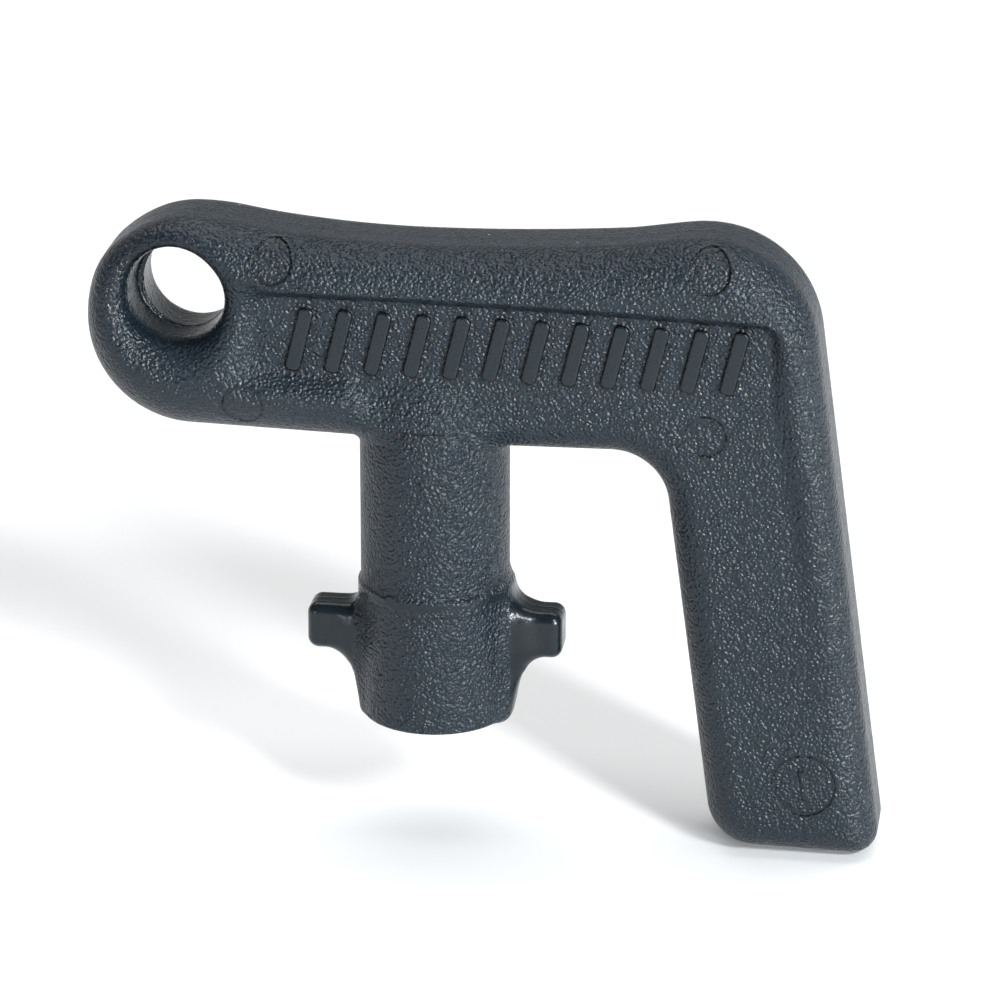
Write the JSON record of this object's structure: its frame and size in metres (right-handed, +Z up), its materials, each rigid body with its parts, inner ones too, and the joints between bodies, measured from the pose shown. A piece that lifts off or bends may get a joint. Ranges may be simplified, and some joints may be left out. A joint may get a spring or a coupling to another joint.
{
  "type": "bayonet lug key",
  "caption": "One-piece moulded key: round barrel with a side-lugged bayonet nose, flat crossbar handle with a lanyard eye and a long flag lever turned down.",
  "frame": {"origin": "centre of the nose's flat end face, on the barrel's axis", "axes": "+Z up the barrel's axis from the nose to the handle, +X towards the flag lever, -Y the marked front face"},
  "size_m": [0.0672, 0.013, 0.0541],
  "materials": {
    "moulded_plastic": "blue-black, fine sparked grain with a satin sheen; the lugs are smooth and glossier"
  },
  "bodies": {
    "root": {"keyring_eye": "moulded_plastic", "crossbar": "moulded_plastic", "elbow": "moulded_plastic", "lever_arm": "moulded_plastic", "barrel": "moulded_plastic", "nose": "moulded_plastic", "left_lug": "moulded_plastic", "right_lug": "moulded_plastic"}
  },
  "joints": []
}
